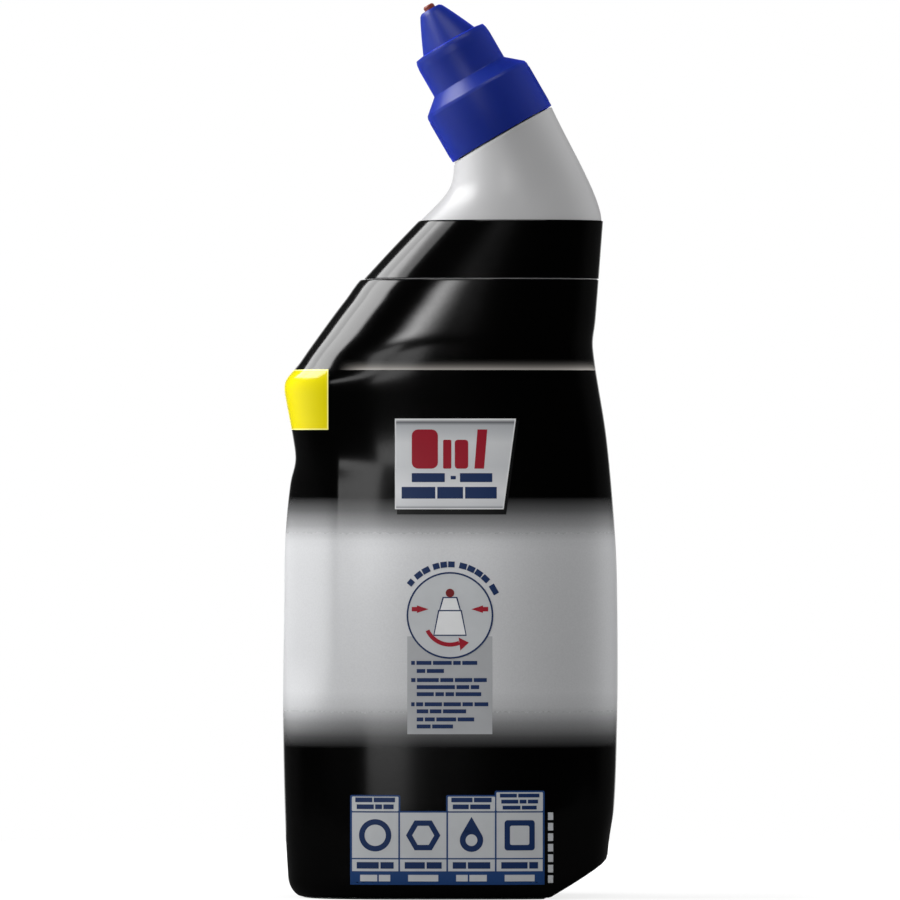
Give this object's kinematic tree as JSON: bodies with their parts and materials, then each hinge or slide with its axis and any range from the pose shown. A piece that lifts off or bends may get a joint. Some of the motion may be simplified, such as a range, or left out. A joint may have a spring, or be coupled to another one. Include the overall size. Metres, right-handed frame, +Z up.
{
  "type": "toilet cleaner bottle",
  "caption": "Flat hollow squeeze bottle with an angled neck, a finger grip, two black film sleeves and a blue twist nozzle cap that rises off a closing pin as it turns.",
  "frame": {"origin": "middle of the base, on the surface that the bottle stands on", "axes": "+Z up; +X to the right as the back label is read, so the nozzle leans to -X; the back label faces -Y"},
  "size_m": [0.098, 0.0534, 0.2618],
  "materials": {
    "bottle_plastic": "blow-moulded polyethylene, silver grey, satin",
    "fitment_plastic": "moulded polypropylene, brick red",
    "seal_rubber": "soft rubber, dark grey",
    "cap_plastic": "moulded polypropylene, royal blue, semi-gloss",
    "band_film": "shrunk film, glossy black",
    "sleeve_film": "shrunk film, glossy black with a silver band and printed fields"
  },
  "bodies": {
    "bottle_body": {"bottle": "bottle_plastic", "plug_fitment": "fitment_plastic", "shoulder_band": "band_film", "sleeve_label": "sleeve_film"},
    "seal": {"seal_ring": "seal_rubber"},
    "cap": {"nozzle_cap": "cap_plastic"}
  },
  "joints": [
    {"name": "cap_rise", "type": "slide", "parent": "bottle_body", "child": "seal", "axis": [-0.5, 0, 0.866], "range_m": [0, 0.003]},
    {"name": "cap_turn", "type": "hinge", "parent": "seal", "child": "cap", "pos_m": [0.0152, 0, 0.2234], "axis": [-0.5, 0, 0.866], "range_deg": [0, 100]}
  ],
  "couplings": [
    {"joint": "cap_rise", "follows": "cap_turn", "m_per_rad": 0.0017188}
  ]
}
